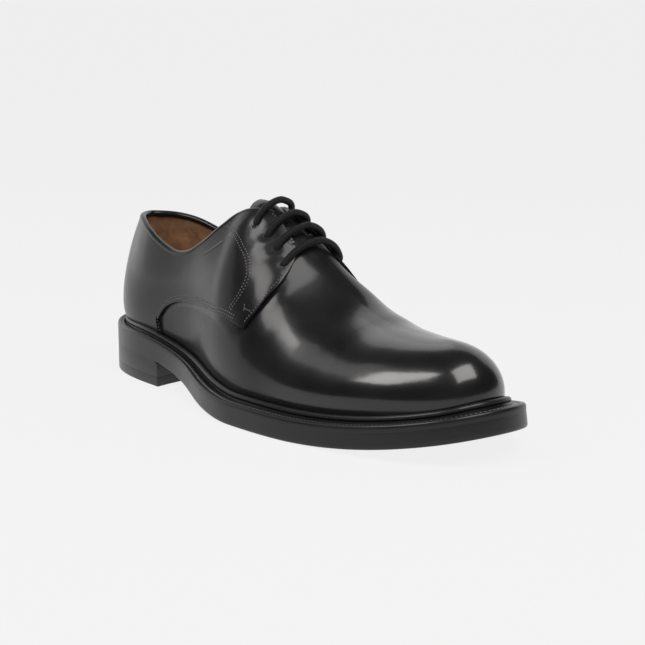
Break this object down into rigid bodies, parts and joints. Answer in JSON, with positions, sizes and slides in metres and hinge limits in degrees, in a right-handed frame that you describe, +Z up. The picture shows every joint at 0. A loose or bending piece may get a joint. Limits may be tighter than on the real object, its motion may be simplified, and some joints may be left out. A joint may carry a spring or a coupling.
{
  "type": "derby shoe",
  "caption": "Plain-toe derby shoe for the right foot: hollow leather upper with open lacing, storm welt, thick sole and stacked heel.",
  "frame": {"origin": "on the floor, under the middle of the shoe's box", "axes": "+X towards the toe, +Y towards the inner side of the foot, +Z up"},
  "size_m": [0.305, 0.1036, 0.1095],
  "materials": {
    "upper_leather": "polished black calf, glossy, with a wax shine on toe and facings",
    "lining_leather": "matt brown lining leather with a short nap",
    "edge_rubber": "satin black dressed edge",
    "lace_cord": "waxed black round cord"
  },
  "bodies": {
    "root": {"upper": "upper_leather", "tongue": "upper_leather", "insole": "lining_leather", "welt": "edge_rubber", "outsole": "edge_rubber", "heel_block": "edge_rubber", "heel_top_piece": "edge_rubber", "lace_bar_1": "lace_cord", "lace_bar_2": "lace_cord", "lace_bar_3": "lace_cord", "lace_bar_4": "lace_cord"}
  },
  "joints": []
}
